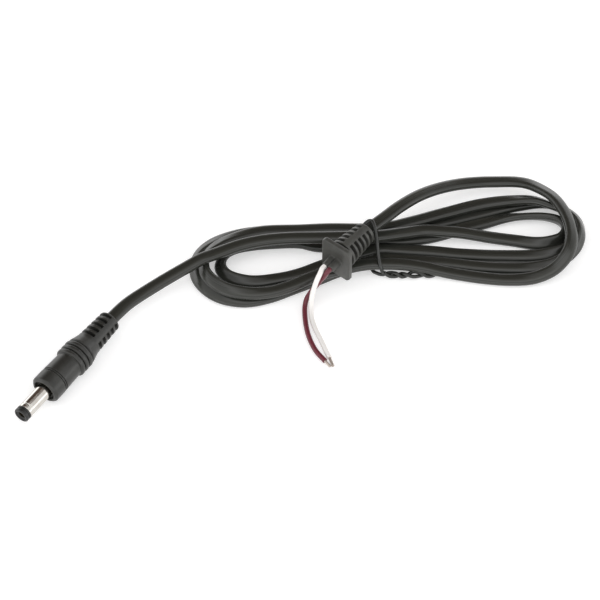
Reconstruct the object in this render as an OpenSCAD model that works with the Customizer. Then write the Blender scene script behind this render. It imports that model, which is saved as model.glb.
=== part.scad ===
// Moulded DC barrel plug on a flat two-core cable, wound into a tied hank, with a strain
// relief grommet and two tinned leads on the far end.
// Millimetres. The plug lies along X with its tip towards -X; the table is z = 0.

/* [Barrel contact] */
// Outside diameter of the metal barrel
barrel_d = 5.5; // [4:0.1:6.5]
// Length of bare metal between the nose and the grip
barrel_length = 10.2; // [6:0.1:14]
// Wall of the barrel tube
barrel_wall = 0.5; // [0.3:0.05:0.7]
// Length of barrel tube moulded into the grip
barrel_embed = 7; // [5:0.5:9]
// Distance of the latch groove from the front edge of the barrel
latch_groove_at = 1.2; // [0.6:0.1:3]
// Width of the latch groove
latch_groove_width = 0.6; // [0.3:0.1:1]
// Depth of the latch groove
latch_groove_depth = 0.2; // [0.1:0.05:0.3]
// Step in the tube's wall where the grip closes on it
neck_step = 0.2; // [0.1:0.05:0.25]
// Diameter of the anchor flange inside the grip
anchor_d = 7.6; // [6.6:0.1:8.6]
// Thickness of the anchor flange
anchor_thick = 1.2; // [0.6:0.1:2]
// Width of the solder tongue behind the barrel
tongue_width = 2.4; // [1.6:0.1:3]
// Thickness of the solder tongue
tongue_thick = 0.9; // [0.5:0.1:1.1]

/* [Insulator nose] */
// Diameter of the black nose ring
nose_d = 5.5; // [4:0.1:6.5]
// Length of the nose ring in front of the metal
nose_length = 2.2; // [1:0.1:3]
// Edge chamfer of the nose ring
nose_chamfer = 0.35; // [0.1:0.05:0.6]
// Diameter of the hole in the nose
nose_hole_d = 2.6; // [2.3:0.1:3]

/* [Centre contact] */
// Bore of the centre contact, for the pin of the jack
contact_bore_d = 2.12; // [1.7:0.01:2.52]
// Wall of the centre contact
contact_wall = 0.5; // [0.3:0.05:0.55]
// Depth of the contact behind the front of the nose
contact_setback = 1; // [0.6:0.1:1.8]
// Depth of the bore
contact_bore_depth = 9.5; // [6:0.5:11]
// Width of the spring slit
slit_width = 0.4; // [0.2:0.05:0.5]
// Length of the spring slit
slit_length = 6; // [4:0.5:8]

/* [Grip] */
// Diameter of the front collar
collar_d = 10.6; // [9:0.1:12]
// Length of the front collar
collar_length = 5.6; // [4:0.1:8]
// Chamfer at the front of the collar
collar_chamfer = 1.1; // [0.4:0.1:1.6]
// Width of the fine groove behind the collar
collar_groove_width = 0.5; // [0.3:0.1:1]
// Depth of the fine groove behind the collar
collar_groove_depth = 0.3; // [0.1:0.05:0.6]
// Diameter of the smooth body
body_d = 10.4; // [9:0.1:12]
// Length of the smooth body between the collar and the first ring
body_length = 8.4; // [4:0.1:12]
// Number of grip rings
ring_count = 3; // [1:1:4]
// Diameter over the grip rings
ring_d = 11.5; // [10.8:0.1:13]
// Width of one ring
ring_width = 1.4; // [0.8:0.1:2]
// Width of the groove behind each ring
ring_gap = 0.65; // [0.4:0.05:1]
// Length of the tapered shoulder behind the rings
shoulder_length = 3.8; // [2:0.1:6]
// Clearance between embedded metal parts that slide together
assembly_gap = 0.02; // [0.01:0.01:0.05]

/* [Bend relief boot] */
// Boot diameter at the shoulder
boot_front_d = 9; // [8:0.1:10]
// Boot diameter at the cable end
boot_end_d = 7.8; // [7:0.1:9]
// Length of the boot
boot_length = 12.6; // [10:0.1:18]
// Number of slots along the boot
boot_slots = 5; // [2:1:6]
// Width of one slot
slot_width = 1.25; // [0.6:0.05:1.6]
// Pitch of the slots
slot_pitch = 2.35; // [1.8:0.05:2.6]
// Distance from the start of the boot to the first slot
slot_start = 1.1; // [0.5:0.1:2]
// Diameter of the solid core at the bottom of the slots
slot_core_d = 5.9; // [5.5:0.1:6.5]
// Width of the two spines that join the boot's ribs
spine_width = 2.8; // [1.6:0.1:4]
// Turn of the spines about the plug's axis
spine_turn = 45; // [0:5:90]
// Edge rounding at the end of the boot
boot_round = 0.7; // [0.3:0.1:1]

/* [Cable] */
// Width of the flat cable
cable_width = 4.8; // [4:0.1:5.2]
// Thickness of the flat cable
cable_thick = 2.8; // [2.2:0.1:3.4]
// Distance between the two cores
core_pitch = 2.3; // [2:0.05:2.6]
// Diameter of one insulated core
core_d = 1.8; // [1.4:0.1:1.9]
// Diameter of the bare strands of one core
strand_d = 1; // [0.7:0.05:1.2]
// Length of jacket moulded into the grip
jacket_embed = 15.5; // [8:0.5:18]

/* [Hank] */
// Turn of the hank about Z
hank_turn = -56.5; // [-90:0.5:0]
// Height of the two loops of the hank
hank_height = 5.6; // [5.6:0.1:8]
// Height of the gathered waist
waist_height = 8.4; // [8:0.1:11]
// Half width of the waist
waist_half = 9.8; // [9:0.1:12]
// Radius of the left loop's round end
left_loop_r = 16.5; // [14:0.5:20]
// Distance from the waist to the centre of the left loop
left_loop_at = 49; // [40:1:60]
// Radius of the right loop's round end
right_loop_r = 23.2; // [20:0.1:28]
// Distance from the waist to the centre of the right loop
right_loop_at = 52; // [44:1:64]
// Length of the straight part of each loop's open eye
eye_length = 30; // [20:1:34]
// Width of the open eye in the left loop
left_eye_width = 7; // [3:0.5:9]
// Width of the open eye in the right loop
right_eye_width = 3.6; // [2:0.2:6]

/* [Twist tie] */
// Thickness of the covered wire
tie_d = 1.4; // [0.8:0.1:1.6]
// Thickness of the twisted tail
tail_d = 2.2; // [1.6:0.1:3]

/* [Strain relief grommet] */
// Turn of the grommet about Z
grommet_turn = -6; // [-45:1:45]
// Width of the flange plate
plate_width = 12.2; // [11:0.2:18]
// Height of the flange plate
plate_height = 14.4; // [12:0.2:16]
// Corner chamfer of the flange plate
plate_chamfer = 1; // [0.4:0.1:3]
// Thickness of the flange plate
plate_thick = 1.8; // [1.2:0.1:3]
// Diameter of the neck that sits in the panel slot
neck_d = 8.4; // [7:0.1:10]
// Length of the neck, the thickness of the panel
neck_length = 2; // [1:0.1:3]
// Diameter of the grommet's boot at the neck
relief_front_d = 10.6; // [9:0.1:12]
// Diameter of the grommet's boot at the cable end
relief_end_d = 8; // [7:0.1:9]
// Length of the grommet's boot
relief_length = 13.2; // [10:0.2:18]
// Number of slots along the grommet's boot
relief_slots = 5; // [2:1:6]
// Turn of the grommet's spines about its axis
relief_spine_turn = 10; // [-45:5:45]
// Diameter of the two lead bosses
boss_d = 3; // [2.4:0.1:3.6]
// Length of the two lead bosses
boss_length = 4.4; // [1:0.1:6]
// Length of jacket moulded into the grommet
relief_jacket = 11; // [6:0.5:14]

/* [Leads] */
// Length of the tinned strands at each lead's end
tinned_length = 4; // [2:0.5:8]

/* [Hidden] */
$fn = 72;
over = 1;

// Gap between pieces that rest on each other, and the straight run of a cable out of its bore.
rest_gap = 0.05;
straight_out = 1.2;

// Plug stations along X.
rings_at = collar_length + body_length;
ring_pitch = ring_width + ring_gap;
shoulder_at = rings_at + ring_count * ring_pitch;
boot_at = shoulder_at + shoulder_length;
grip_length = boot_at + boot_length;
plug_length = nose_length + barrel_length + grip_length;
tip_x = -plug_length / 2;
metal_x = tip_x + nose_length;
face_x = metal_x + barrel_length;
end_x = face_x + grip_length;
axis_z = ring_d / 2;
embed_d = barrel_d - 2 * neck_step;
sleeve_end_x = face_x + barrel_embed;
liner_end_x = sleeve_end_x - 2;
jacket_x = end_x - jacket_embed;
core_y = core_pitch / 2;

// The centre contact's tail lies beside the positive strands, the tongue beside the negative.
contact_d = contact_bore_d + 2 * contact_wall;
contact_x = tip_x + contact_setback;
tail_x = sleeve_end_x + 4;
stem_d = core_pitch - strand_d - 2 * rest_gap;
tongue_end_x = sleeve_end_x + 8.3;
tongue_y = core_y + strand_d / 2 + rest_gap;
strands_red_x = tail_x - 2.9;
strands_white_x = tongue_end_x - 2.9;
core_red_x = strands_red_x + 7;
core_white_x = strands_white_x + 4;
solder_length = 2.2;
centre_solder_d = 2.8;
sleeve_solder_d = 2.4;

// The grommet lies on the waist of the hank.
grommet_at = [84.2, -53.3];
grommet_z = waist_height + relief_front_d / 2 + rest_gap;
relief_x = plate_thick + neck_length;
grommet_length = relief_x + relief_length;
relief_jacket_x = grommet_length - relief_jacket;

// Middle of the hank's waist, the tie's place on it and the side offsets of its two loops.
hank_at = [107.5, -56.5];
tie_at = 1;
tie_channel = tie_d + 1;
neck_half = tie_d + 1.6;
left_loop_y = -9.5;
right_loop_y = 6.2;
right_eye_y = -2.5;
cord_on_hank_z = hank_height + cable_thick / 2 + rest_gap;
waist_from = -13.5;
waist_to = 14;
cord_lane_y = -1;
run_lane_y = 27;
run_lead = 9;

// Sections of the cable and of one core, flat side level.
function cable_oval(gap) = [for (i = [0:11]) [(cable_width / 2 + gap) * cos(30 * i),
                                              (cable_thick / 2 + gap) * sin(30 * i)]];
function core_round(gap) = [for (i = [0:7]) (core_d / 2 + gap) * [cos(45 * i), sin(45 * i)]];
cable_section = cable_oval(0);
cable_bore = cable_oval(assembly_gap);
core_section = core_round(0);
core_bore = core_round(assembly_gap);
function round_section(d) = [for (i = [0:5]) d / 2 * [cos(60 * i), sin(60 * i)]];

// Places in the hank's frame and in the grommet's frame, given in the part's frame.
function turned(p, angle) = [p[0] * cos(angle) - p[1] * sin(angle),
                             p[0] * sin(angle) + p[1] * cos(angle)];
function on_hank(x, y, z) = let (q = turned([x, y], hank_turn)) [hank_at[0] + q[0],
                                                                  hank_at[1] + q[1], z];
function on_grommet(x, y) = let (q = turned([x, y], grommet_turn)) [grommet_at[0] + q[0],
                                                     grommet_at[1] + q[1], grommet_z];

// Route of the cable from the grip to the waist of the hank, over the left loop.
cord_route = concat(
    [[jacket_x, 0, axis_z], [end_x, 0, axis_z], [end_x + straight_out, 0, axis_z]],
    [[33.5, -0.5, 5.7], [42, -2.6, 5.7], [51, -6, 6.4], [60, -10, 7.05], [68.5, -14, 7.05],
     [76.5, -18.5, 7.05], [83, -24, 7.05], [89, -31, 7.05]],
    [on_hank(waist_from - 8, cord_lane_y, cord_on_hank_z),
     on_hank(waist_from, cord_lane_y, cord_on_hank_z)]);

// Route of the cable from the grommet to the right loop.
run_route = concat(
    [on_grommet(relief_jacket_x, 0), on_grommet(grommet_length, 0),
     on_grommet(grommet_length + straight_out, 0)],
    [[110.7, -56.8, 13.4], [119.4, -58.1, 12.4], [129.3, -60.3, 10.6], [138.4, -63.8, 8.4],
     [146.9, -69, 6.2]],
    [on_hank(right_loop_at - run_lead, run_lane_y, hank_height / 2),
     on_hank(right_loop_at, run_lane_y, hank_height / 2)]);

// Routes of the two leads from the grommet's bosses to the table.
white_route = concat(
    [on_grommet(relief_jacket_x, core_y), on_grommet(-boss_length, core_y),
     on_grommet(-boss_length - straight_out, core_y)],
    [[76.8, -51.7, 12.6], [75.6, -51.4, 10.6], [74.6, -51.1, 8], [73, -51.2, 5.4],
     [71, -52, 2.9], [69, -53.3, 1.5], [66.5, -55.3, 0.95], [63.4, -58.8, 0.9],
     [60, -63.5, 0.9], [57.2, -67.3, 0.9], [55.6, -69.6, 0.9]]);
red_route = concat(
    [on_grommet(relief_jacket_x, -core_y), on_grommet(-boss_length, -core_y),
     on_grommet(-boss_length - straight_out, -core_y)],
    [[77.6, -53, 11.2], [77.1, -51.9, 8.4], [76.1, -51, 6], [74.6, -49.9, 4.1],
     [72.2, -49.4, 2.6], [69.8, -50.2, 1.4], [66.7, -52.2, 0.95], [63.3, -54.9, 0.9],
     [60.3, -57.7, 0.9], [57.7, -60.8, 0.9], [55.4, -64.4, 0.9], [53.9, -67.8, 0.9]]);

// The tie's loop round the waist as [across, up], and its twisted tail in the part's frame.
tie_side = waist_half + tie_d / 2 + rest_gap;
tie_low = tie_d / 2;
tie_top = grommet_z + cable_thick / 2 + tie_d / 2 + 0.6;
tie_loop = [[-tie_side, tie_low], [tie_side, tie_low],
            [tie_side, waist_height + 0.4], [tie_side - 2.2, waist_height + 4.6],
            [6.2, tie_top - 0.2], [2.5, tie_top], [-1.5, tie_top], [-4.5, tie_top - 2],
            [-8.6, waist_height + 3], [-tie_side, waist_height + 0.4]];
tail_route = concat([on_hank(tie_at, -tie_side - 0.7, 1.15)],
    [[98, -66.8, 1.15], [99.6, -71.2, 1.15], [101.8, -75.2, 1.15], [104.2, -78.6, 1.15],
     [106.6, -81.8, 1.15]]);

// --- Sweeping --------------------------------------------------------------------------

function unit(v) = v / norm(v);
function along(r, i) = unit(r[min(i + 1, len(r) - 1)] - r[max(i - 1, 0)]);
function side_of(t) = unit(cross([0, 0, 1], t));
function ring_at(r, i, section) =
    let (t = along(r, i), s = side_of(t), u = cross(t, s))
    [for (q = section) r[i] + q[0] * s + q[1] * u];
function wall_faces(rings, n) = [for (i = [0:rings - 2]) for (k = [0:n - 1])
    let (a = i * n + k, b = i * n + (k + 1) % n) each [[a, b + n, b], [a, a + n, b + n]]];

// One closed solid swept along a route, level side kept level.
module sweep(route, section) {
    n = len(section);
    m = len(route);
    points = [for (i = [0:m - 1]) each ring_at(route, i, section)];
    near = [[for (k = [0:n - 1]) k]];
    far = [[for (k = [n - 1:-1:0]) (m - 1) * n + k]];
    polyhedron(points = points, faces = concat(near, wall_faces(m, n), far));
}

// A straight prism of a section along +X.
module prism(section, length) {
    rotate([90, 0, 90]) linear_extrude(length) polygon(section);
}

// --- Shared forms ----------------------------------------------------------------------

// Revolves a [along, radius] outline about X.
module turned_about_x(outline) {
    rotate([90, 0, 90]) rotate_extrude() polygon([for (p = outline) [p[1], p[0]]]);
}

// A round bar along X.
module bar(x0, x1, d) {
    translate([x0, 0, 0]) rotate([0, 90, 0]) cylinder(d = d, h = x1 - x0);
}

// Ring slots of a bend relief boot, each broken by two spines.
module boot_slots_cut(first_x, count, outer_d, turn) {
    for (i = [0:count - 1]) {
        translate([first_x + i * slot_pitch, 0, 0]) rotate([turn, 0, 0]) difference() {
            bar(0, slot_width, outer_d);
            bar(-over, slot_width + over, slot_core_d);
            translate([-over, -spine_width / 2, -outer_d])
                cube([slot_width + 2 * over, spine_width, 2 * outer_d]);
        }
    }
}

// --- Plug ------------------------------------------------------------------------------

module at_axis() {
    translate([0, 0, axis_z]) children();
}

// Outline of the grip, from its front face to its end, as [along, radius].
function grip_outline() = concat(
    [[0, 0], [0, collar_d / 2 - collar_chamfer], [collar_chamfer, collar_d / 2],
     [collar_length, collar_d / 2],
     [collar_length, body_d / 2 - collar_groove_depth],
     [collar_length + collar_groove_width, body_d / 2 - collar_groove_depth],
     [collar_length + collar_groove_width, body_d / 2]],
    [for (i = [0:ring_count - 1]) let (x = rings_at + i * ring_pitch, g = body_d / 2 - 0.1)
        each [[x, g], [x + 0.25, ring_d / 2 - 0.1], [x + 0.45, ring_d / 2],
              [x + ring_width - 0.35, ring_d / 2], [x + ring_width, g]]],
    [[shoulder_at, body_d / 2 - 0.1], [shoulder_at + 0.3, body_d / 2 + 0.25],
     [shoulder_at + 1.5, body_d / 2 - 0.1],
     [boot_at, boot_front_d / 2], [grip_length - boot_round, boot_end_d / 2],
     [grip_length - boot_round * 0.3, boot_end_d / 2 - boot_round * 0.3],
     [grip_length, boot_end_d / 2 - boot_round], [grip_length, 0]]);

module grip_form() {
    translate([face_x, 0, 0]) difference() {
        turned_about_x(grip_outline());
        boot_slots_cut(boot_at + slot_start, boot_slots, boot_front_d + 2, spine_turn);
    }
}

module plug_grip() {
    color("#1c1c1c") at_axis() difference() {
        grip_form();
        bar(face_x - over, liner_end_x, embed_d);
        sleeve_form();
        stem_form();
        centre_solder_form();
        sleeve_solder_form();
        strands_form(strands_red_x, core_red_x, core_y);
        strands_form(strands_white_x, core_white_x, -core_y);
        core_form(core_red_x, core_y);
        core_form(core_white_x, -core_y);
        translate([jacket_x, 0, 0]) prism(cable_bore, jacket_embed + over);
    }
}

// Barrel tube with its anchor flange, latch groove and solder tongue.
module sleeve_form() {
    bore_d = barrel_d - 2 * barrel_wall;
    groove_x = metal_x + latch_groove_at;
    difference() {
        union() {
            bar(metal_x, face_x, barrel_d);
            bar(face_x - over, sleeve_end_x, embed_d);
            bar(face_x + 3, face_x + 3 + anchor_thick, anchor_d);
        }
        bar(metal_x - over, sleeve_end_x + over, bore_d);
        difference() {
            bar(groove_x, groove_x + latch_groove_width, barrel_d + 2);
            bar(groove_x - over, groove_x + latch_groove_width + over,
                barrel_d - 2 * latch_groove_depth);
        }
    }
    translate([sleeve_end_x - 1, -tongue_y - tongue_thick, -tongue_width / 2])
        cube([tongue_end_x - sleeve_end_x + 1, tongue_thick, tongue_width]);
}

module barrel_sleeve() {
    color("#d9d6d0") at_axis() sleeve_form();
}

module insulator() {
    liner_d = barrel_d - 2 * barrel_wall - 2 * assembly_gap;
    color("#151515") at_axis() difference() {
        union() {
            turned_about_x([[tip_x, 0], [tip_x, nose_d / 2 - nose_chamfer],
                            [tip_x + nose_chamfer, nose_d / 2], [metal_x, nose_d / 2],
                            [metal_x, 0]]);
            bar(metal_x - 0.5, liner_end_x, liner_d);
        }
        bar(contact_x, liner_end_x + over, contact_d + 2 * assembly_gap);
        bar(tip_x - over, contact_x + over, nose_hole_d);
        turned_about_x([[tip_x - 0.1, 0], [tip_x - 0.1, nose_hole_d / 2 + 0.4],
                        [tip_x + 0.3, nose_hole_d / 2], [tip_x + 0.3, 0]]);
    }
}

// The centre contact's solder stem behind its tube.
module stem_form() {
    bar(liner_end_x - 0.5, tail_x, stem_d);
}

module centre_contact() {
    color("#c9b57a") at_axis() {
        difference() {
            bar(contact_x, liner_end_x, contact_d);
            bar(contact_x - over, contact_x + contact_bore_depth, contact_bore_d);
            translate([contact_x - over, -contact_d, -slit_width / 2])
                cube([slit_length + over, 2 * contact_d, slit_width]);
        }
        stem_form();
    }
}

module strands_form(x0, x1, y) {
    translate([0, y, 0]) bar(x0, x1, strand_d);
}

module strands_red() {
    color("#b87333") at_axis() strands_form(strands_red_x, core_red_x, core_y);
}

module strands_white() {
    color("#b87333") at_axis() strands_form(strands_white_x, core_white_x, -core_y);
}

module core_form(x0, y) {
    translate([x0, y, 0]) prism(core_section, jacket_x - x0);
}

module core_red() {
    color("#6e1f24") at_axis() core_form(core_red_x, core_y);
}

module core_white() {
    color("#ece9e2") at_axis() core_form(core_white_x, -core_y);
}

module centre_solder_form() {
    translate([0, core_y / 2, 0]) bar(strands_red_x + 0.3, strands_red_x + 0.3 + solder_length,
                                      centre_solder_d);
}

module centre_solder() {
    color("#a9adb0") at_axis() difference() {
        centre_solder_form();
        stem_form();
        strands_form(strands_red_x, core_red_x, core_y);
    }
}

module sleeve_solder_form() {
    translate([0, -tongue_y + 0.3, 0]) bar(strands_white_x + 0.3,
                                       strands_white_x + 0.3 + solder_length, sleeve_solder_d);
}

module sleeve_solder() {
    color("#a9adb0") at_axis() difference() {
        sleeve_solder_form();
        sleeve_form();
        strands_form(strands_white_x, core_white_x, -core_y);
        strands_form(strands_red_x, core_red_x, core_y);
        core_form(core_red_x, core_y);
    }
}

// --- Cable -----------------------------------------------------------------------------

module cord() {
    color("#242424") sweep(cord_route, cable_section);
}

module cord_run() {
    color("#242424") sweep(run_route, cable_section);
}

module at_hank() {
    translate([hank_at[0], hank_at[1], 0]) rotate([0, 0, hank_turn]) children();
}

// Outline of the two loops: a taper from the waist and a round end on each side.
module loops_outline() {
    neck_from = tie_at - neck_half;
    neck_to = tie_at + neck_half;
    polygon([[neck_to, -waist_half], [neck_to, waist_half], [neck_from, waist_half],
             [-left_loop_at, left_loop_y + left_loop_r],
             [-left_loop_at, left_loop_y - left_loop_r], [neck_from, -waist_half]]);
    translate([-left_loop_at, left_loop_y]) circle(r = left_loop_r);
    polygon([[neck_to, -waist_half], [right_loop_at, right_loop_y - right_loop_r],
             [right_loop_at, run_lane_y - cable_width / 2 - 1.2], [neck_to, waist_half]]);
    intersection() {
        translate([right_loop_at, right_loop_y]) circle(r = right_loop_r);
        translate([right_loop_at, right_loop_y - 2 * right_loop_r])
            square([2 * right_loop_r, 4 * right_loop_r]);
    }
}

// Outline of the gathered waist, parallel where the tie goes round it.
module waist_outline() {
    neck_from = tie_at - neck_half;
    neck_to = tie_at + neck_half;
    polygon([[waist_from, -waist_half - 3.2], [neck_from, -waist_half],
             [neck_to, -waist_half], [waist_to, -waist_half - 1.7],
             [waist_to, waist_half + 1.7], [neck_to, waist_half],
             [neck_from, waist_half], [waist_from, waist_half - 0.3]]);
}

// The open eye inside a loop, a slot with round ends.
module eye(x0, y, turn, width) {
    translate([x0, y]) rotate(turn) {
        square([eye_length, width]);
        translate([0, width / 2]) circle(d = width);
        translate([eye_length, width / 2]) circle(d = width);
    }
}

module cord_hank() {
    color("#202020") at_hank() difference() {
        union() {
            linear_extrude(hank_height) difference() {
                loops_outline();
                eye(-left_loop_at - 1, left_loop_y - left_eye_width / 2, 2, left_eye_width);
                eye(right_loop_at - eye_length, right_eye_y, -1, right_eye_width);
            }
            linear_extrude(waist_height) waist_outline();
        }
        translate([tie_at - tie_channel / 2, -2 * waist_half, -over])
            cube([tie_channel, 4 * waist_half, tie_d + 0.1 + over]);
    }
}

// --- Twist tie -------------------------------------------------------------------------

module twist_tie() {
    section = round_section(tie_d);
    n = len(section);
    m = len(tie_loop);
    rings = [for (i = [0:m - 1])
        let (t = unit(tie_loop[(i + 1) % m] - tie_loop[(i + m - 1) % m]))
        for (q = section)
            [tie_at + q[0], tie_loop[i][0] - q[1] * t[1], tie_loop[i][1] + q[1] * t[0]]];
    faces = [for (i = [0:m - 1]) for (k = [0:n - 1])
        let (a = i * n + k, b = i * n + (k + 1) % n,
             c = ((i + 1) % m) * n + k, d = ((i + 1) % m) * n + (k + 1) % n)
        each [[a, b, d], [a, d, c]]];
    color("#262626") union() {
        at_hank() polyhedron(points = rings, faces = faces);
        sweep(tail_route, round_section(tail_d));
    }
}

// --- Grommet ---------------------------------------------------------------------------

module at_grommet() {
    translate([grommet_at[0], grommet_at[1], grommet_z]) rotate([0, 0, grommet_turn])
        children();
}

// Flange plate outline, a rectangle with chamfered corners, across and up.
function plate_outline() = let (w = plate_width / 2, h = plate_height / 2, c = plate_chamfer)
    [[-w + c, -h], [w - c, -h], [w, -h + c], [w, h - c], [w - c, h], [-w + c, h],
     [-w, h - c], [-w, -h + c]];

module grommet() {
    color("#2b2b2b") at_grommet() difference() {
        union() {
            prism(plate_outline(), plate_thick);
            bar(0, relief_x + over, neck_d);
            turned_about_x([[relief_x, 0], [relief_x, relief_front_d / 2],
                            [grommet_length - boot_round, relief_end_d / 2],
                            [grommet_length, relief_end_d / 2 - boot_round],
                            [grommet_length, 0]]);
            for (side = [-1, 1]) {
                translate([0, side * core_y, 0]) bar(-boss_length, over, boss_d);
            }
        }
        boot_slots_cut(relief_x + slot_start, relief_slots, relief_front_d + 2,
                       relief_spine_turn);
        translate([relief_jacket_x, 0, 0]) prism(cable_bore, relief_jacket + over);
        for (side = [-1, 1]) {
            translate([-boss_length - over, side * core_y, 0])
                prism(core_bore, boss_length + over + relief_jacket_x);
        }
    }
}

// --- Leads -----------------------------------------------------------------------------

module lead_white() {
    color("#eeeae4") sweep(white_route, core_section);
}

module lead_red() {
    color("#5d1a20") sweep(red_route, core_section);
}

// Tinned strands that go straight on from the end of a lead.
module tinned_end(route) {
    last = route[len(route) - 1];
    t = along(route, len(route) - 1);
    translate(last) rotate([0, 0, atan2(t[1], t[0])]) bar(0, tinned_length, strand_d);
}

module end_white() {
    color("#c8c8c6") tinned_end(white_route);
}

module end_red() {
    color("#c8c8c6") tinned_end(red_route);
}

plug_grip();
barrel_sleeve();
insulator();
centre_contact();
centre_solder();
sleeve_solder();
core_red();
core_white();
strands_red();
strands_white();
cord();
cord_hank();
cord_run();
twist_tie();
grommet();
lead_white();
lead_red();
end_white();
end_red();
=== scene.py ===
"""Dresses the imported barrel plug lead: a moulded plug, a flat twin cable wound into a tied
hank, and a strain relief grommet with two stripped leads.

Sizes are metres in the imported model's frame: the plug lies along X with its tip towards
-X, and the table is z = 0. Routes are written in millimetres and scaled once.
"""

import logging
import math
from dataclasses import dataclass, field
from enum import Enum

import bpy
import numpy as np
from bpy.types import ID, Material, Mesh, Node, NodeSocket, NodeTree, Object
from mathutils import Matrix, Vector


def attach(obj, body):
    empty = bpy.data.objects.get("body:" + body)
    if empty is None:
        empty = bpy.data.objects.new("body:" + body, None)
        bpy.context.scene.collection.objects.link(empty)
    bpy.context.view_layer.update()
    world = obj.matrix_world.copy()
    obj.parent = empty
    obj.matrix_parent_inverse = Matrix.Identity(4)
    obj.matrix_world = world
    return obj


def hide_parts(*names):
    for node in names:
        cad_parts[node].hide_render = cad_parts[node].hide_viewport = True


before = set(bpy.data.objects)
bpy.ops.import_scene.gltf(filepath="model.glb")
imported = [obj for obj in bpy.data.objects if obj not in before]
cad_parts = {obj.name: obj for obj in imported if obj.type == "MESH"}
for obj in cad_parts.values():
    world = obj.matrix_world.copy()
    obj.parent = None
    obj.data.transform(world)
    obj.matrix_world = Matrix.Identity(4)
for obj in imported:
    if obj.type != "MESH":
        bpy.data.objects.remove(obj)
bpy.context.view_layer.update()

MM = 0.001
BODY = "root"
log = logging.getLogger("plug_lead")

Point = tuple[float, float, float]
Profile = list[tuple[float, float, float]]
Colour = tuple[float, float, float]


# --- Node trees ---


class Tree:
    """A shader or geometry node tree under construction."""

    def __init__(self, tree: NodeTree) -> None:
        """Keeps the tree that the calls add to."""
        self.tree = tree

    def put(self, socket: NodeSocket, value: object) -> None:
        """Links a socket to an input, or sets the input's value.

        Args:
            socket: The input to feed.
            value: An output socket, or the input's new value.
        """
        if isinstance(value, NodeSocket):
            self.tree.links.new(value, socket)
        else:
            socket.default_value = value

    def add(self, kind: str, values: dict | None = None, **settings: object) -> Node:
        """Adds a node.

        Args:
            kind: The node's type name.
            values: Input name or index to the value or socket that feeds it.
            settings: Properties of the node, set before its inputs.

        Returns:
            The new node.
        """
        node = self.tree.nodes.new(kind)
        for name, setting in settings.items():
            setattr(node, name, setting)
        for name, value in (values or {}).items():
            self.put(node.inputs[name], value)
        return node

    def math(self, operation: str, a: object, b: object = 0.0, c: object = 0.0) -> object:
        """Adds a Math node.

        Args:
            operation: What it does.
            a: Its first value or socket.
            b: Its second.
            c: Its third.

        Returns:
            The output socket.
        """
        return self.add("ShaderNodeMath", {0: a, 1: b, 2: c}, operation=operation).outputs[0]

    def step(self, value: object, low: object, high: object, start: float = 0.0,
             end: float = 1.0) -> object:
        """Adds a smooth step.

        Args:
            value: The socket that is looked at.
            low: Where the step begins.
            high: Where it ends.
            start: The result up to low.
            end: The result from high on.

        Returns:
            The output socket.
        """
        return self.add(
            "ShaderNodeMapRange",
            {"Value": value, "From Min": low, "From Max": high, "To Min": start, "To Max": end},
            interpolation_type="SMOOTHSTEP",
        ).outputs["Result"]

    def mix(self, factor: object, low: object, high: object) -> object:
        """Adds a mix of two colours.

        Args:
            factor: The socket that picks between them.
            low: The colour or socket at 0.
            high: The colour or socket at 1.

        Returns:
            The output socket.
        """
        node = self.add("ShaderNodeMix", {"Factor": factor}, data_type="RGBA")
        for end, colour in zip([s for s in node.inputs if s.type == "RGBA"], (low, high)):
            self.put(end, colour)
        return next(s for s in node.outputs if s.type == "RGBA")


# --- Finishes ---


NOISE_SPREAD = (0.3, 0.7)
STRETCH_ALONG = 0.12
TURNED_SQUEEZE = (1.0, 0.06, 0.06)


class Grain(Enum):
    """The coordinates that a finish's pattern follows."""

    SOLID = "solid"
    ALONG = "along"
    TURNED = "turned"


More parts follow.
